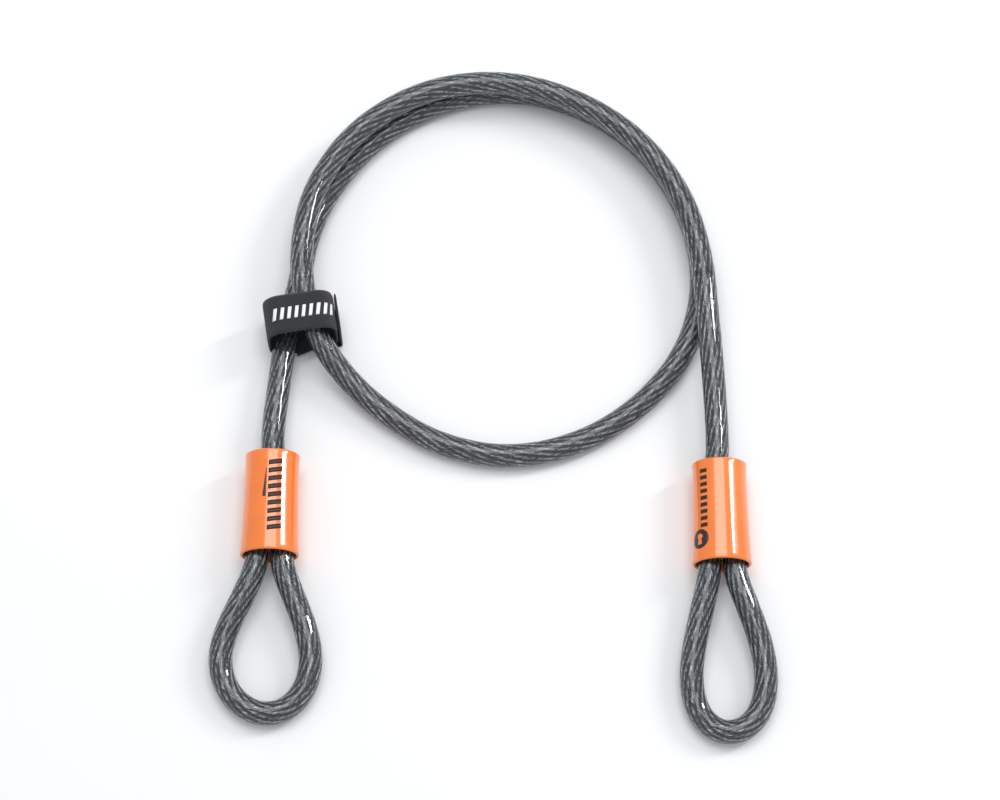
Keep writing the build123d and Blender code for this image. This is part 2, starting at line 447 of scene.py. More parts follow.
def mottled(link, add, scale, detail, low, high):
    """Two colours mixed by a fine noise in the piece's own space."""
    place = add("ShaderNodeTexCoord")
    pattern = add("ShaderNodeTexNoise", Scale=scale, Detail=detail, Roughness=0.6)
    ramp = add("ShaderNodeValToRGB")
    ramp.color_ramp.elements[0].position = 0.35
    ramp.color_ramp.elements[1].position = 0.65
    ramp.color_ramp.elements[0].color = low
    ramp.color_ramp.elements[1].color = high
    link(place.outputs["Object"], pattern.inputs["Vector"])
    link(pattern.outputs["Fac"], ramp.inputs["Fac"])
    return place, pattern, ramp


def spread(link, add, value, low, high):
    """A value between 0 and 1 stretched over a range."""
    stretch = add("ShaderNodeMapRange")
    stretch.inputs["To Min"].default_value = low
    stretch.inputs["To Max"].default_value = high
    link(value, stretch.inputs["Value"])
    return stretch.outputs["Result"]


def roughen(link, add, shader, height, strength, distance):
    """Small relief from a height value."""
    relief = add("ShaderNodeBump", Strength=strength, Distance=distance)
    link(height, relief.inputs["Height"])
    link(relief.outputs["Normal"], shader.inputs["Normal"])


def vinyl_finish(settings):
    """Clear extruded vinyl: glassy, a little smoky, with a soft waver on its surface."""
    material, link, shader, add = new_finish("jacket_vinyl")
    _, pattern, ramp = mottled(
        link, add, 180, 2, opaque(settings.jacket_colour, 0.96), opaque(settings.jacket_colour)
    )
    link(ramp.outputs["Color"], shader.inputs["Base Color"])
    link(spread(link, add, pattern.outputs["Fac"], 0.02, 0.07), shader.inputs["Roughness"])
    roughen(link, add, shader, pattern.outputs["Fac"], 0.10, 0.0002)
    shader.inputs["Transmission Weight"].default_value = 1.0
    shader.inputs["IOR"].default_value = 1.54
    smoke = add("ShaderNodeVolumeAbsorption", Density=settings.smoke)
    smoke.inputs["Color"].default_value = opaque(settings.smoke_colour)
    link(smoke.outputs["Volume"], material.node_tree.nodes["Material Output"].inputs["Volume"])
    return material


def steel_finish(settings):
    """Drawn steel wire, with painted highlights and painted shade in short runs: bright flecks where a wire turns up
    to the light, near-black ones between.
    """
    material, link, shader, add = new_finish("steel_wire")
    _, pattern, ramp = mottled(
        link, add, 1, 3, opaque(settings.steel_shade), opaque(settings.steel_colour)
    )
    lay = add("ShaderNodeAttribute", attribute_name="lay")
    link(lay.outputs["Vector"], pattern.inputs["Vector"])
    # A dimmed copy of the steel colour, between the painted highlight and the painted shade.
    middle = ramp.color_ramp.elements.new(0.50)
    middle.color = opaque(settings.steel_colour, 0.30)
    ramp.color_ramp.elements[0].position = 0.38
    ramp.color_ramp.elements[2].position = 0.64
    link(ramp.outputs["Color"], shader.inputs["Base Color"])
    link(spread(link, add, pattern.outputs["Fac"], 0.32, 0.50), shader.inputs["Roughness"])
    shader.inputs["Metallic"].default_value = 1.0
    return material


def core_finish(settings):
    """Painted shade: a dark, matt surface that fills the rope between its strands and stands in for the shade there.
    """
    material, link, shader, add = new_finish("rope_core")
    _, pattern, ramp = mottled(
        link, add, 1400, 3, opaque(settings.core_colour), opaque(settings.core_colour, 3.5)
    )
    link(ramp.outputs["Color"], shader.inputs["Base Color"])
    link(spread(link, add, pattern.outputs["Fac"], 0.55, 0.80), shader.inputs["Roughness"])
    return material


def sleeve_finish(settings):
    """Glossy coloured vinyl with faint mottling and soft moulding waves."""
    material, link, shader, add = new_finish("sleeve_vinyl")
    _, pattern, ramp = mottled(
        link, add, 90, 3, opaque(settings.sleeve_colour, 0.93), opaque(settings.sleeve_colour)
    )
    link(ramp.outputs["Color"], shader.inputs["Base Color"])
    link(spread(link, add, pattern.outputs["Fac"], 0.16, 0.26), shader.inputs["Roughness"])
    roughen(link, add, shader, pattern.outputs["Fac"], 0.12, 0.0004)
    shader.inputs["Coat Weight"].default_value = 1.0
    shader.inputs["Coat Roughness"].default_value = 0.03
    shader.inputs["IOR"].default_value = 1.5
    return material


def ink_finish(name, colour, worn):
    """Printed ink, slightly thin in places."""
    material, link, shader, add = new_finish(name)
    _, pattern, ramp = mottled(link, add, 900, 4, opaque(worn), opaque(colour))
    ramp.color_ramp.elements[0].position = 0.10
    ramp.color_ramp.elements[1].position = 0.28
    link(ramp.outputs["Color"], shader.inputs["Base Color"])
    link(spread(link, add, pattern.outputs["Fac"], 0.30, 0.50), shader.inputs["Roughness"])
    return material


def ferrule_finish(settings):
    """Pressed aluminium, dull, with fine scuffs."""
    material, link, shader, add = new_finish("crimped_metal")
    _, pattern, ramp = mottled(
        link, add, 700, 5, opaque(settings.ferrule_colour, 0.75), opaque(settings.ferrule_colour)
    )
    link(ramp.outputs["Color"], shader.inputs["Base Color"])
    link(spread(link, add, pattern.outputs["Fac"], 0.30, 0.55), shader.inputs["Roughness"])
    roughen(link, add, shader, pattern.outputs["Fac"], 0.3, 0.0001)
    shader.inputs["Metallic"].default_value = 1.0
    return material


def fabric_finish(settings):
    """Brushed nylon tape: dark, matt and fuzzy."""
    material, link, shader, add = new_finish("tie_tape")
    _, pattern, ramp = mottled(
        link, add, 1600, 4, opaque(settings.fabric_colour, 0.55), opaque(settings.fabric_colour, 1.5)
    )
    link(ramp.outputs["Color"], shader.inputs["Base Color"])
    link(spread(link, add, pattern.outputs["Fac"], 0.75, 0.95), shader.inputs["Roughness"])
    roughen(link, add, shader, pattern.outputs["Fac"], 0.6, 0.0002)
    shader.inputs["Sheen Weight"].default_value = 0.25
    shader.inputs["Sheen Roughness"].default_value = 0.5
    return material


def hook_finish(settings):
    """Moulded nylon hooks, slightly glossy."""
    material, link, shader, add = new_finish("tie_hook_plastic")
    _, pattern, ramp = mottled(
        link, add, 1200, 3, opaque(settings.hook_colour), opaque(settings.hook_colour, 1.8)
    )
    link(ramp.outputs["Color"], shader.inputs["Base Color"])
    link(spread(link, add, pattern.outputs["Fac"], 0.30, 0.50), shader.inputs["Roughness"])
    return material


def floor_finish(settings):
    """Plain pale paper."""
    material, link, shader, add = new_finish("pale_floor")
    _, pattern, ramp = mottled(
        link, add, 6, 3, opaque(settings.floor_colour, 0.985), opaque(settings.floor_colour)
    )
    link(ramp.outputs["Color"], shader.inputs["Base Color"])
    link(spread(link, add, pattern.outputs["Fac"], 0.85, 0.95), shader.inputs["Roughness"])
    shader.inputs["Specular IOR Level"].default_value = 0.1
    return material


finishes = {}


def finish_of(name, make, *facts):
    """A finish made once and shared by every piece that wears it."""
    if name not in finishes:
        finishes[name] = make(*facts)
    return finishes[name]


# ---------------------------------------------------------------- mesh tools


class Shape:
    """Vertices and faces gathered for one piece."""

    def __init__(self):
        self.vertices = []
        self.faces = []
        self.creases = set()
        self.lays = []

    def rings(self, rings, start_cap=True, end_cap=True, closed=False):
        """Join loops of points, each with the same count, by quads."""
        first = len(self.vertices)
        around = len(rings[0])
        for ring in rings:
            self.vertices.extend(ring)
        rows = len(rings) if closed else len(rings) - 1
        for row in range(rows):
            here = first + row * around
            there = first + (row + 1) % len(rings) * around
            for step in range(around):
                after = (step + 1) % around
                self.faces.append((here + step, here + after, there + after, there + step))
        if start_cap and not closed:
            self.faces.append(tuple(reversed(range(first, first + around))))
        if end_cap and not closed:
            last = first + (len(rings) - 1) * around
            self.faces.append(tuple(range(last, last + around)))

    def crease(self, first, count, around, every):
        """Keep the lines between rings sharp at every so many places round them."""
        for ring in range(first, first + (count - 1) * around, around):
            for step in range(0, around, every):
                self.creases.add((ring + step, ring + step + around))

    def piece(self, name, material, slot=None):
        """The finished object, smooth but for its creases, with faces that point outward."""
        mesh = bpy.data.meshes.new(name)
        mesh.from_pydata(self.vertices, [], self.faces)
        work = bmesh.new()
        work.from_mesh(mesh)
        bmesh.ops.recalc_face_normals(work, faces=work.faces)
        for face in work.faces:
            face.smooth = True
        for edge in work.edges if self.creases else ():
            ends = tuple(sorted(corner.index for corner in edge.verts))
            edge.smooth = ends not in self.creases
        work.to_mesh(mesh)
        work.free()
        mesh.materials.append(material)
        if self.lays:
            lay = mesh.attributes.new("lay", "FLOAT_VECTOR", "POINT")
            lay.data.foreach_set("vector", [size for place in self.lays for size in place])
        made = bpy.data.objects.new(name, mesh)
        bpy.context.scene.collection.objects.link(made)
        if slot:
            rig.slot(made, slot)
        return made


def circle(centre, side, across, radius, count):
    """A ring of points round a centre."""
    turns = [2 * pi * step / count for step in range(count)]
    return [centre + (side * cos(turn) + across * sin(turn)) * radius for turn in turns]


def read_line(points, resolution):
    """The points of a smooth line that has these control points."""
    curve = bpy.data.curves.new("route", "CURVE")
    curve.dimensions = "3D"
    spline = curve.splines.new("NURBS")
    spline.points.add(len(points) - 1)
    for place, point in zip(spline.points, points):
        place.co = (*point, 1.0)
    spline.order_u = 3
    spline.use_endpoint_u = True
    spline.resolution_u = resolution
    holder = bpy.data.objects.new("route", curve)
    line = bpy.data.meshes.new_from_object(holder)
    found = [vertex.co.copy() for vertex in line.vertices]
    bpy.data.meshes.remove(line)
    bpy.data.objects.remove(holder)
    bpy.data.curves.remove(curve)
    return found


def carried_frames(line):
    """Two sides at each point of a line, turning no more than the line makes them."""
    last = len(line) - 1
    side = UP
    frames = []
    for index in range(len(line)):
        along = (line[min(index + 1, last)] - line[max(index - 1, 0)]).normalized()
        side = (side - along * side.dot(along)).normalized()
        frames.append((side, along.cross(side)))
    return frames


def run_lengths(line):
    """How far along a line each of its points is."""
    runs = [0.0]
    for before, after in zip(line, line[1:]):
        runs.append(runs[-1] + (after - before).length)
    return runs


# ---------------------------------------------------------------- cable


core_sides = 32
# Length, width and strand offset of the painted highlight and painted shade flecks on the wires.
fleck_length = 0.0028
fleck_width = 1.4
strand_shift = 7.3
jacket_sides = 40
line_steps = {"main": 14, "loop": 12}
jacket_ripple = 0.000012
jacket_waver = 0.00003
waver_scale = 90
waver_reach = 0.005


class CableLine:
    """A cable's line with everything that its rope and jacket follow."""

    def __init__(self, points, resolution):
        self.points = read_line(points, resolution)
        self.frames = carried_frames(self.points)
        self.runs = run_lengths(self.points)

    def length(self, first, last):
        return self.runs[last] - self.runs[first]

    def path(self, first, last):
        return self.points[first : last + 1]

    def jacket_ring(self, index, settings):
        """The jacket's outside, lightly rippled over the strands beneath."""
        side, across = self.frames[index]
        centre = self.points[index]
        lay_turn = 2 * pi * self.runs[index] / settings.strand_lay
        ring = []
        for step in range(jacket_sides):
            turn = 2 * pi * step / jacket_sides
            outward = side * cos(turn) + across * sin(turn)
            ripple = jacket_ripple * (cos(settings.strands * (turn - lay_turn)) - 1)
            waver = jacket_waver * (noise.noise((centre + outward * waver_reach) * waver_scale) - 1)
            ring.append(centre + outward * (settings.jacket_diameter / 2 + ripple + waver))
        return ring

    def strand_ring(self, index, strand, settings):
        """One strand's outside: round wires side by side, turning against the strand."""
        side, across = self.frames[index]
        slope = sin(pi / settings.strands)
        radius = settings.rope_diameter / 2 * slope / (1 + slope)
        orbit = settings.rope_diameter / 2 - radius
        turn = 2 * pi * (self.runs[index] / settings.strand_lay + strand / settings.strands)
        centre = self.points[index] + (side * cos(turn) + across * sin(turn)) * orbit
        start = -2 * pi * self.runs[index] / settings.wire_lay
        share = sin(pi / settings.wires)
        wire = radius * share / (1 + share)
        middle = radius - wire
        ring = []
        for number in range(settings.wires):
            for offset in (0, 1 / 3, 2 / 3):
                away = (offset - 0.5) * 2 * pi / settings.wires
                reach = middle * cos(away) + sqrt(max(wire**2 - (middle * sin(away)) ** 2, 0))
                angle = start + 2 * pi * (number + offset) / settings.wires
                ring.append(centre + (side * cos(angle) + across * sin(angle)) * reach)
        return ring


def strands_piece(name, line, first, last, settings):
    """Strands of round wires, over one stretch of the line."""
    shape = Shape()
    stations = range(first, last + 1)
    around = settings.wires * 3
    for strand in range(settings.strands):
        start = len(shape.vertices)
        shape.rings([line.strand_ring(index, strand, settings) for index in stations])
        shape.crease(start, len(stations), around, 3)
        # Each point's lay places the painted highlight and painted shade flecks along its wire.
        for index in stations:
            along = line.runs[index] / fleck_length
            shape.lays += [
                (along, step / 3 * fleck_width, strand * strand_shift) for step in range(around)
            ]
    return shape.piece(name, finish_of("steel_wire", steel_finish, settings), "steel_rope")


def core_piece(name, line, first, last, settings):
    """The dark core, painted shade between the strands, over one stretch of the line."""
    shape = Shape()
    radius = settings.core_diameter / 2
    stations = range(first, last + 1)
    shape.rings([circle(line.points[index], *line.frames[index], radius, core_sides) for index in stations])
    return shape.piece(name, finish_of("rope_core", core_finish, settings), "steel_rope")


def jacket_piece(name, line, first, last, settings):
    """The clear jacket over one stretch of the line."""
    shape = Shape()
    shape.rings([line.jacket_ring(index, settings) for index in range(first, last + 1)])
    return shape.piece(name, finish_of("jacket_vinyl", vinyl_finish, settings), "clear_vinyl")


def declare_cable(jacket, inside, line, first, last, lay):
    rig.cord(
        jacket,
        exit=line.points[first],
        length=line.length(first, last),
        diameter=bpy.context.scene.cable_settings.jacket_diameter,
        far_end="object",
        stiffness="stiff",
        lay=lay,
        path=line.path(first, last),
        with_pieces=inside,
    )


class MESH_OT_main_cable(bpy.types.Operator):
    """Build the one and a half turns of cable between the two ferrules"""

    bl_idname = "mesh.main_cable"
    bl_label = "Main Cable"

    cut = {"left": 0.038, "right": 0.052}
    bend_start = {"left": Vector((-0.0905, 0.014, 0.008)), "right": Vector((0.0935, 0.022, 0.013))}
    bend_run = {"left": Vector((-0.0028, -0.042, 0.002)), "right": Vector((0.0263, -0.0197, 0))}
    jacket_inset = 0.0035  # how far the jacket reaches into each sleeve

    def execute(self, context):
        settings = context.scene.cable_settings
        line = CableLine(main_route(), line_steps["main"])
        heights = [point.y for point in line.points]
        last = len(heights) - 1
        necks = {side: sleeve_boxes[side][1].y - self.jacket_inset for side in sides}
        start = next(i for i in range(last) if heights[i] > necks["left"])
        left = next(i for i in range(last) if heights[i] > self.cut["left"])
        right = next(i for i in range(last, 0, -1) if heights[i] > self.cut["right"])
        end = next(i for i in range(last, 0, -1) if heights[i] > necks["right"])

        coil = self.rope("coil", line, left, right, settings)
        for made in coil:
            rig.ride(made, "cable")
        left_tail = self.rope("left_tail", line, 0, left, settings)
        right_tail = self.rope("right_tail", line, right, last, settings)
        self.bend(left_tail, "left")
        self.bend(right_tail, "right")

        jacket = jacket_piece("left_tail_clear_jacket", line, start, left, settings)
        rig.replaces(jacket, "left_tail_jacket")
        self.bend([jacket], "left")
        declare_cable(jacket, left_tail, line, start, left, "loose")
        jacket = jacket_piece("coil_clear_jacket", line, left, end, settings)
        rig.replaces(jacket, "coil_jacket", "right_tail_jacket")
        self.bend([jacket], "right")
        declare_cable(jacket, coil + right_tail, line, left, end, "coiled")
        return {"FINISHED"}

    def rope(self, name, line, first, last, settings):
        """The strands of one stretch and its dark core of painted shade."""
        strands = strands_piece(f"{name}_strands", line, first, last, settings)
        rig.replaces(strands, f"{name}_rope")
        return [strands, core_piece(f"{name}_core", line, first, last, settings)]

    def bend(self, made, side):
        """Let these pieces bend between the coil and one end."""
        start = self.bend_start[side]
        for piece in made:
            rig.blend(piece, "cable", f"{side}_end", start, start + self.bend_run[side])


class MESH_OT_end_loops(bpy.types.Operator):
    """Build the loop of cable at each end"""

    bl_idname = "mesh.end_loops"
    bl_label = "End Loops"

    strip_back = 0.001  # bare rope between the ferrule and the jacket

    def execute(self, context):
        settings = context.scene.cable_settings
        for side in sides:
            line = CableLine(loop_route(side), line_steps["loop"])
            last = len(line.points) - 1
            ferrule_end = ferrule_boxes[side][0].y
            start = next(i for i in range(last) if line.points[i].y < ferrule_end + self.strip_back)
            end = next(i for i in range(last, 0, -1) if line.points[i].y < ferrule_end + self.strip_back)
            strands = strands_piece(f"{side}_loop_strands", line, 0, last, settings)
            # The loop's dark core is painted shade between its strands.
            core = core_piece(f"{side}_loop_core", line, 0, last, settings)
            jacket = jacket_piece(f"{side}_loop_clear_jacket", line, start, end, settings)
            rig.replaces(strands, f"{side}_loop_rope")
            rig.replaces(jacket, f"{side}_loop_jacket")
            for made in (strands, core, jacket):
                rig.ride(made, f"{side}_end")
            declare_cable(jacket, [strands, core], line, start, end, "loose")
        return {"FINISHED"}


# ---------------------------------------------------------------- sleeves and ferrules


sleeve_sides = 96
sleeve_rows = 30
rim_steps = 8
flare_reach = 0.004


def sleeve_half_width(side, depth, settings):
    """Half the sleeve's width: a slight waist that opens towards the mouth."""
    low, high = sleeve_boxes[side]
    mouth = (high.x - low.x) / 2
    along = depth / sleeve_length(side)
    top = settings.top_flare * max(0, 1 - depth / flare_reach) ** 2
    return mouth - settings.mouth_flare * (1 - along**2) + top


def sleeve_spot(side, turn, depth, lift, settings):
    """A point over the sleeve's outside: a turn from its crown and a depth from its top."""
    low, high = sleeve_boxes[side]
    axis = fitting_axis(side)
    half_depth = (high.z - low.z) / 2
    half_width = sleeve_half_width(side, depth, settings)
    x = axis.x + (half_width + lift) * sin(turn)
    z = axis.z + (half_depth + lift) * cos(turn)
    return Vector((x, axis.y - depth, z))


def sleeve_section(side, settings):
    """The wall's outline as (depth, inset) pairs: round rims joined by straight faces."""
    round_off = settings.sleeve_wall / 2
    length = sleeve_length(side)
    arc = [pi * step / rim_steps for step in range(rim_steps + 1)]
    rows = [round_off + (length - 2 * round_off) * step / sleeve_rows for step in range(1, sleeve_rows)]
    outline = [(round_off * (1 - sin(a)), round_off * (1 + cos(a))) for a in arc]
    outline += [(depth, 0.0) for depth in rows]
    outline += [(length - round_off * (1 - sin(a)), round_off * (1 - cos(a))) for a in arc]
    outline += [(depth, settings.sleeve_wall) for depth in reversed(rows)]
    return outline


class MESH_OT_end_sleeves(bpy.types.Operator):
    """Build the coloured sleeve at each end and finish the ferrule inside it"""

    bl_idname = "mesh.end_sleeves"
    bl_label = "End Sleeves"

    def execute(self, context):
        settings = context.scene.fitting_settings
        turns = [2 * pi * step / sleeve_sides for step in range(sleeve_sides)]
        for side in sides:
            shape = Shape()
            rings = [
                [sleeve_spot(side, turn, depth, -inset, settings) for turn in turns]
                for depth, inset in sleeve_section(side, settings)
            ]
            shape.rings(rings, closed=True)
            finish = finish_of("sleeve_vinyl", sleeve_finish, settings)
            sleeve = shape.piece(f"{side}_end_sleeve", finish, "orange_vinyl")
            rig.replaces(sleeve, f"{side}_sleeve")
            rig.ride(sleeve, f"{side}_end")

            ferrule = frame["nodes"][f"{side}_ferrule"]
            for place in ferrule.material_slots:
                place.material = finish_of("crimped_metal", ferrule_finish, settings)
        return {"FINISHED"}


# ---------------------------------------------------------------- printed marks


ink_depth = 0.00020
ink_height = 0.00004
disc_sides = 48


def add_patch(shape, spot, corners, columns, rows, lift=ink_height):
    """A thin solid over a surface, its four corners given in the surface's own two sizes."""

    def between(across, along):
        near = [a + (b - a) * across for a, b in zip(corners[0], corners[1])]
        far = [a + (b - a) * across for a, b in zip(corners[3], corners[2])]
        return [a + (b - a) * along for a, b in zip(near, far)]

    rings = []
    for row in range(rows + 1):
        places = [between(column / columns, row / rows) for column in range(columns + 1)]
        top = [spot(*place, lift) for place in places]
        bottom = [spot(*place, -ink_depth) for place in reversed(places)]
        rings.append(top + bottom)
    shape.rings(rings)


def add_disc(shape, spot, middle, radius, lift=ink_height):
    """A thin round solid over a surface."""
    turns = [2 * pi * step / disc_sides for step in range(disc_sides)]
    steps = [0.02, 0.25, 0.5, 0.75, 1.0]
    rings = [
        [
            spot(middle[0] + radius * share * cos(turn), middle[1] + radius * share * sin(turn), height)
            for turn in turns
        ]
        for height, shares in ((lift, steps), (-ink_depth, reversed(steps)))
        for share in shares
    ]
    shape.rings(rings)


class MESH_OT_sleeve_marks(bpy.types.Operator):
    """Print plain bars, a wedge and a keyhole on the sleeves"""

    bl_idname = "mesh.sleeve_marks"
    bl_label = "Sleeve Marks"

    crown_radius = 0.0112

    def execute(self, context):
        settings = context.scene.fitting_settings
        for side, draw in (("left", self.left_marks), ("right", self.right_marks)):
            def spot(arc, depth, lift, side=side):
                return sleeve_spot(side, arc / self.crown_radius, depth, lift, settings)

            dark = Shape()
            light = Shape()
            draw(dark, light, spot)
            ink = finish_of(
                "sleeve_ink", ink_finish, "sleeve_ink", settings.print_colour, settings.sleeve_colour
            )
            marks = dark.piece(f"{side}_sleeve_print", ink)
            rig.ride(marks, f"{side}_end")
            if light.faces:
                finish = finish_of("sleeve_vinyl", sleeve_finish, settings)
                keyhole = light.piece(f"{side}_sleeve_keyhole", finish, "orange_vinyl")
                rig.ride(keyhole, f"{side}_end")
        return {"FINISHED"}

    def left_marks(self, dark, light, spot):
        """A column of leaning bars across the crown, underlined by a wedge."""
        first, pitch, thick, lean = 0.0046, 0.0036, 0.0021, 0.0010
        left, right = -0.0006, 0.0050
        for number in range(9):
            start = first + pitch * number
            ends = [(left, start + lean), (right, start), (right, start + thick)]
            add_patch(dark, spot, [*ends, (left, start + lean + thick)], 10, 2)
        wedge = [(-0.0016, 0.0090), (-0.0014, 0.0090), (-0.0014, 0.0215), (-0.0028, 0.0215)]
        add_patch(dark, spot, wedge, 3, 20)

    def right_marks(self, dark, light, spot):
        """A column of short bars on the flank, with a keyhole disc below it."""
        first, pitch, thick = 0.0046, 0.0030, 0.0017
        left, right = -0.0096, -0.0062
        for number in range(9):
            start = first + pitch * number
            add_patch(
                dark,
                spot,
                [(left, start), (right, start), (right, start + thick), (left, start + thick)],
                8,
                2,
            )
        middle = (-0.0100, 0.0352)
        add_disc(dark, spot, middle, 0.0042)
        raised = ink_height * 2
        add_disc(light, spot, (middle[0], middle[1] - 0.0010), 0.0013, raised)
        foot = [
            (middle[0] - 0.0005, middle[1] - 0.0006),
            (middle[0] + 0.0005, middle[1] - 0.0006),
            (middle[0] + 0.0011, middle[1] + 0.0024),
            (middle[0] - 0.0011, middle[1] + 0.0024),
        ]
        add_patch(light, spot, foot, 4, 4, raised)


# ---------------------------------------------------------------- tie


tie_centre = Vector((-0.0829, 0.0318, 0))
tie_turn = radians(9)
tie_width = 0.0175
tie_thickness = 0.001
tie_inner_width = 0.0282
tie_inner_height = 0.0225
tie_corner = 0.007
layer_gap = 0.00065
tongue_tip = -0.0035
tongue_corner = 0.0023
tongue_edge = 0.009
flap_length = 0.017
fold_radius = 0.0008
tape_step = 0.0002
tape_columns = 16
edge_taper = 0.55
tie_across = Vector((cos(tie_turn), sin(tie_turn), 0))
tie_along = Vector((-sin(tie_turn), cos(tie_turn), 0))
fold_place = tie_inner_width / 2 + tie_thickness / 2 + tie_thickness + layer_gap


def rounded_outline(corners, radii, step):
    """Points an even step apart along straight sides joined by arcs."""
    rough = [Vector(corners[0])]
    for before, corner, after, radius in zip(corners, corners[1:], corners[2:], radii):
        here = Vector(corner)
        back = (Vector(before) - here).normalized()
        on = (Vector(after) - here).normalized()
        half = acos(max(-1, min(1, back.dot(on)))) / 2
        middle = here + (back + on).normalized() * radius / sin(half)
        start = (here + back * radius / tan(half) - middle).normalized()
        end = (here + on * radius / tan(half) - middle).normalized()
        rough += [middle + start.slerp(end, part / 16) * radius for part in range(17)]
    rough.append(Vector(corners[-1]))
    runs = run_lengths(rough)
    outline = []
    at = 0
    for number in range(int(runs[-1] / step) + 1):
        wanted = number * step
        while runs[at + 1] < wanted:
            at += 1
        share = (wanted - runs[at]) / (runs[at + 1] - runs[at])
        outline.append(rough[at].lerp(rough[at + 1], share))
    return outline


class TieStrip:
    """A stretch of tape: its outline in the tie's own plane, and points over its faces."""

    def __init__(self, corners, radii, step):
        self.step = step
        self.outline = rounded_outline(corners, radii, step)

    def spot(self, run, along, lift):
        """A point over the middle of the tape's thickness, lifted outward."""
        place = min(max(run / self.step, 0), len(self.outline) - 1.001)
        index = int(place)
        here = self.outline[index].lerp(self.outline[index + 1], place - index)
        before = self.outline[max(index - 1, 0)]
        after = self.outline[min(index + 2, len(self.outline) - 1)]
        forward = (after - before).normalized()
        flat = here + Vector((forward.y, -forward.x)) * lift
        return tie_centre + tie_across * flat.x + tie_along * along + UP * flat.y

    def add_to(self, shape, settings, low_edge):
        """The woven tape: ribs across its faces and rounded edges."""
        columns = tape_columns
        rings = []
        for index in range(len(self.outline)):
            run = index * self.step
            rib = settings.rib_height * cos(2 * pi * run / settings.rib_pitch)
            low = low_edge(run)
            high = tie_width / 2
            half = tie_thickness / 2
            face = half - settings.rib_height + rib
            places = [low + (high - low) * column / columns for column in range(columns + 1)]
            shares = [edge_taper] + [1.0] * (columns - 1) + [edge_taper]
            top = [self.spot(run, place, face * share) for place, share in zip(places, shares)]
            bottom = [self.spot(run, place, -face * share) for place, share in zip(places, shares)]
            rings.append(top + bottom[::-1])
        shape.rings(rings)


def band_strip():
    """The band: its tongue inside, up the right side, over both strands and back beneath."""
    half = tie_thickness / 2
    side = tie_inner_width / 2 + half
    lid = tie_thickness + tie_inner_height + half
    layer = tie_thickness + layer_gap
    corners = [
        (tongue_tip, half + layer),
        (side, half + layer),
        (side, lid),
        (-side, lid),
        (-side, half),
        (fold_place - tie_thickness - 0.0003, half),
    ]
    return TieStrip(corners, [tie_corner - layer, tie_corner, tie_corner, tie_corner], tape_step)


def flap_strip():
    """The flap: from the band's end, round the fold and up the outside."""
    half = tie_thickness / 2
    corners = [(fold_place - 0.0016, half), (fold_place, half), (fold_place, half + flap_length)]
    return TieStrip(corners, [fold_radius], tape_step)


class MESH_OT_cable_tie(bpy.types.Operator):
    """Build the woven band and the flap that closes it"""

    bl_idname = "mesh.cable_tie"
    bl_label = "Cable Tie"

    fold_start = 0.0014  # where the flap's fold starts and ends, inside its outer face
    fold_end = 0.0006

    def execute(self, context):
        settings = context.scene.tie_settings
        finish = finish_of("tie_tape", fabric_finish, settings)

        def tongue_low(run):
            return -tie_width / 2 - tongue_corner * max(0, 1 - run / tongue_edge)

        band = Shape()
        band_strip().add_to(band, settings, tongue_low)
        band_piece = band.piece("tie_band", finish, "loop_tape")
        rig.replaces(band_piece, "strap_band")
        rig.ride(band_piece, "strap")

        flap = Shape()
        flap_strip().add_to(flap, settings, lambda run: -tie_width / 2)
        flap_piece = flap.piece("tie_flap", finish, "loop_tape")
        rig.replaces(flap_piece, "strap_flap")
        start = tie_centre + tie_across * (fold_place - self.fold_start)
        end = tie_centre + tie_across * (fold_place - self.fold_end)
        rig.blend(flap_piece, "strap", "flap", start, end)
        return {"FINISHED"}


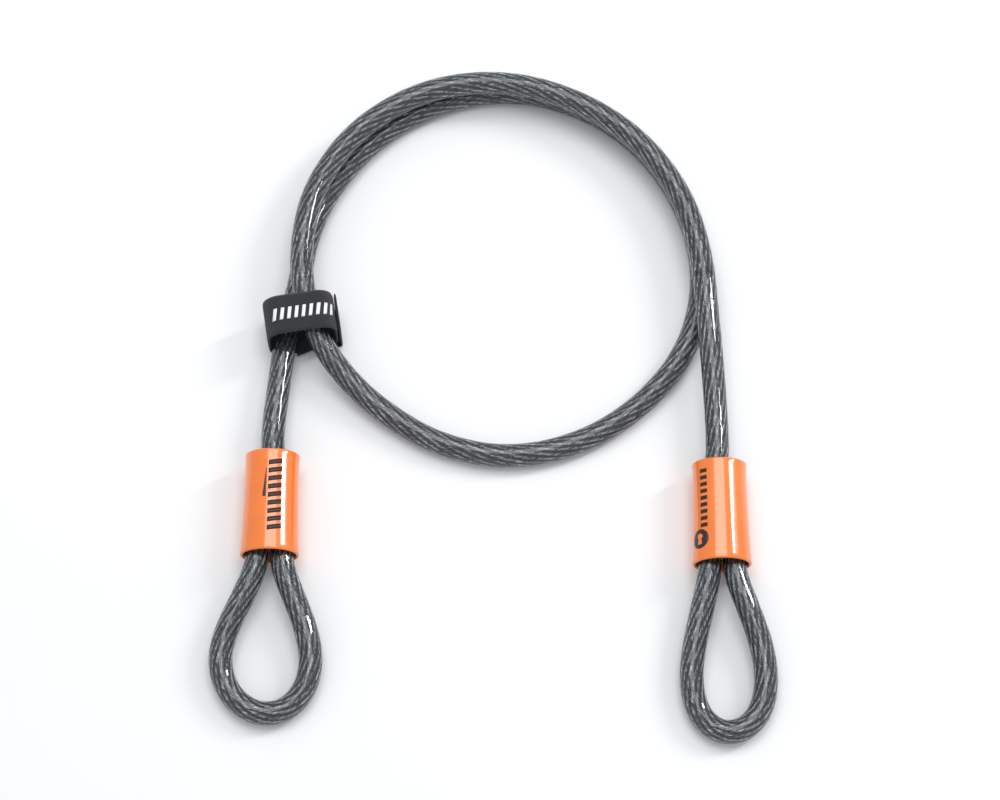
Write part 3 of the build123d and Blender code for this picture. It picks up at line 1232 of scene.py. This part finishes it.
class MESH_OT_tie_hooks(bpy.types.Operator):
    """Build the moulded hooks inside the flap and the pile that they catch"""

    bl_idname = "mesh.tie_hooks"
    bl_label = "Tie Hooks"

    hook_pitch = 0.0010
    hook_radius = 0.00016
    hook_wire = 0.00006
    base = 0.00012
    edge_margin = 0.001
    pile_count = 520
    yarn = 0.00004

    def execute(self, context):
        settings = context.scene.tie_settings
        low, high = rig.box("flap_hooks")
        rows = int((high.z - low.z) / self.hook_pitch)
        columns = int((tie_width - 2 * self.edge_margin) / self.hook_pitch)
        face = fold_place - tie_thickness / 2
        shape = Shape()
        self.add_base(shape, face, low.z, high.z)
        for row in range(rows):
            for column in range(columns):
                along = (column - (columns - 1) / 2) * self.hook_pitch
                along += self.hook_pitch / 4 * (1 if row % 2 else -1)
                self.add_hook(shape, face, along, low.z + (row + 0.5) * self.hook_pitch)
        finish = finish_of("tie_hook_plastic", hook_finish, settings)
        hooks = shape.piece("flap_hook_field", finish, "hook_tape")
        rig.replaces(hooks, "flap_hooks")
        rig.ride(hooks, "flap")

        pile = Shape()
        chance = Random(4)
        outside = tie_inner_width / 2 + tie_thickness
        for _ in range(self.pile_count):
            along = chance.uniform(-0.47, 0.47) * tie_width
            height = chance.uniform(low.z - 0.001, high.z + 0.0035)
            self.add_pile_loop(pile, outside, along, height, chance)
        tape = pile.piece("band_loop_pile", finish_of("tie_tape", fabric_finish, settings), "loop_tape")
        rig.ride(tape, "strap")
        return {"FINISHED"}

    def place(self, across, along, height):
        return tie_centre + tie_across * across + tie_along * along + UP * height

    def add_base(self, shape, face, low, high):
        """The thin backing that the hooks stand on."""
        half = tie_width / 2 - self.edge_margin
        outline = [(-half, low), (half, low), (half, high), (-half, high)]
        rings = [
            [self.place(face + inset, along, height) for along, height in outline]
            for inset in (0.0001, -self.base)
        ]
        shape.rings(rings)

    def add_hook(self, shape, face, along, height):
        """A small crook that stands off the backing and curls downward."""
        foot = face - self.base / 2
        spine = [(foot, height), (foot - 0.00018, height)]
        for step in range(1, 6):
            turn = pi * step / 5
            spine.append((
                foot - 0.00018 - self.hook_radius * sin(turn),
                height - self.hook_radius * (1 - cos(turn)),
            ))
        centres = [self.place(across, along, level) for across, level in spine]
        rings = [circle(c, *pair, self.hook_wire, 5) for c, pair in zip(centres, carried_frames(centres))]
        shape.rings(rings)

    def add_pile_loop(self, shape, outside, along, height, chance):
        """A fine loop of yarn standing off the band."""
        reach = chance.uniform(0.00015, 0.00028)
        width = chance.uniform(0.00020, 0.00040)
        lean = chance.uniform(0, 2 * pi)
        centres = []
        for step in range(7):
            turn = pi * step / 6
            sway = width * cos(turn)
            across = outside - 0.0001 + reach * sin(turn)
            centres.append(self.place(across, along + sway * cos(lean), height + sway * sin(lean)))
        rings = [circle(c, *pair, self.yarn, 4) for c, pair in zip(centres, carried_frames(centres))]
        shape.rings(rings)


class MESH_OT_tie_marks(bpy.types.Operator):
    """Print a row of leaning bars on the band"""

    bl_idname = "mesh.tie_marks"
    bl_label = "Tie Marks"

    first = 0.0345
    pitch = 0.0031
    thick = 0.0015
    tall = 0.0054
    lean = 0.0012
    count = 9

    def execute(self, context):
        settings = context.scene.tie_settings
        strip = band_strip()
        shape = Shape()

        def spot(run, along, lift):
            return strip.spot(run, along, tie_thickness / 2 + lift)

        for number in range(self.count):
            start = self.first + self.pitch * number
            low = -self.tall / 2
            corners = [
                (start, low),
                (start + self.thick, low),
                (start + self.thick - self.lean, low + self.tall),
                (start - self.lean, low + self.tall),
            ]
            add_patch(shape, spot, corners, 4, 6)
        ink = finish_of("tie_ink", ink_finish, "tie_ink", settings.print_colour, (0.35, 0.35, 0.35))
        bars = shape.piece("tie_print", ink)
        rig.ride(bars, "strap")
        return {"FINISHED"}


# ---------------------------------------------------------------- stage


class SCENE_OT_cable_stage(bpy.types.Operator):
    """Set the floor, the lamps and the camera"""

    bl_idname = "scene.cable_stage"
    bl_label = "Cable Stage"

    target = Vector((0.0029, 0.0008, 0))
    floor_radius = 3.0
    floor_depth = 0.02
    world_colour = (0.93, 0.96, 1.0, 1)
    world_strength = 0.69

    def execute(self, context):
        settings = context.scene.stage_settings
        scene = context.scene
        scene.view_settings.view_transform = "Standard"

        lens = bpy.data.cameras.new("camera")
        lens.lens = 100
        lens.sensor_width = 36
        lens.clip_end = 20
        camera = bpy.data.objects.new("camera", lens)
        tilt = settings.elevation
        camera.location = self.target + Vector((0, -cos(tilt), sin(tilt))) * settings.distance
        camera.rotation_euler = (pi / 2 - tilt, 0, 0)
        scene.collection.objects.link(camera)
        scene.camera = camera

        floor = Shape()
        across, along = Vector((1, 0, 0)), Vector((0, 1, 0))
        levels = [Vector((0, 0, level)) for level in (-self.floor_depth, 0)]
        floor.rings([circle(level, across, along, self.floor_radius, 64) for level in levels])
        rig.stage(floor.piece("floor", finish_of("pale_floor", floor_finish, settings)))

        self.add_lamp(scene, "overhead_lamp", settings.overhead_power, (0.9, 0.9), (0, 0.35, 1.35))
        self.add_lamp(scene, "strip_lamp", settings.strip_power, (0.2, 0.9), (1.76, 0.89, 1.53))

        world = bpy.data.worlds.new("studio")
        world.use_nodes = True
        backdrop = world.node_tree.nodes["Background"]
        backdrop.inputs["Color"].default_value = self.world_colour
        backdrop.inputs["Strength"].default_value = self.world_strength
        scene.world = world
        return {"FINISHED"}

    def add_lamp(self, scene, name, power, size, place):
        """A soft rectangular lamp that faces the cable."""
        light = bpy.data.lights.new(name, "AREA")
        light.shape = "RECTANGLE"
        light.size, light.size_y = size
        light.energy = power
        lamp = bpy.data.objects.new(name, light)
        lamp.location = place
        lamp.rotation_euler = (-Vector(place)).to_track_quat("-Z", "Y").to_euler()
        scene.collection.objects.link(lamp)


# ---------------------------------------------------------------- panel


steps = (
    SCENE_OT_cable_stage,
    MESH_OT_main_cable,
    MESH_OT_end_loops,
    MESH_OT_end_sleeves,
    MESH_OT_sleeve_marks,
    MESH_OT_cable_tie,
    MESH_OT_tie_hooks,
    MESH_OT_tie_marks,
)
setting_groups = {
    "cable_settings": CableSettings,
    "fitting_settings": FittingSettings,
    "tie_settings": TieSettings,
    "stage_settings": StageSettings,
}


class VIEW3D_PT_loop_cable(bpy.types.Panel):
    """Lists every step of the loop cable and its settings"""

    bl_label = "Loop Cable"
    bl_space_type = "VIEW_3D"
    bl_region_type = "UI"
    bl_category = "Loop Cable"

    def draw(self, context):
        for group in setting_groups:
            box = self.layout.box()
            settings = getattr(context.scene, group)
            for name in type(settings).__annotations__:
                box.prop(settings, name)
        for step in steps:
            self.layout.operator(step.bl_idname)


def register():
    for group in setting_groups.values():
        bpy.utils.register_class(group)
    for step in steps:
        bpy.utils.register_class(step)
    bpy.utils.register_class(VIEW3D_PT_loop_cable)
    for name, group in setting_groups.items():
        setattr(bpy.types.Scene, name, bpy.props.PointerProperty(type=group))


def unregister():
    for name in setting_groups:
        delattr(bpy.types.Scene, name)
    bpy.utils.unregister_class(VIEW3D_PT_loop_cable)
    for step in reversed(steps):
        bpy.utils.unregister_class(step)
    for group in setting_groups.values():
        bpy.utils.unregister_class(group)


def main():
    register()
    bpy.ops.scene.cable_stage()
    bpy.ops.mesh.main_cable()
    bpy.ops.mesh.end_loops()
    bpy.ops.mesh.end_sleeves()
    bpy.ops.mesh.sleeve_marks()
    bpy.ops.mesh.cable_tie()
    bpy.ops.mesh.tie_hooks()
    bpy.ops.mesh.tie_marks()
    sizes = {"cad": cad_box, "visual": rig.bounds()}
    with open("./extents.json", "w") as file:
        json.dump({name: [list(corner) for corner in box] for name, box in sizes.items()}, file)


if __name__ == "__main__":
    main()
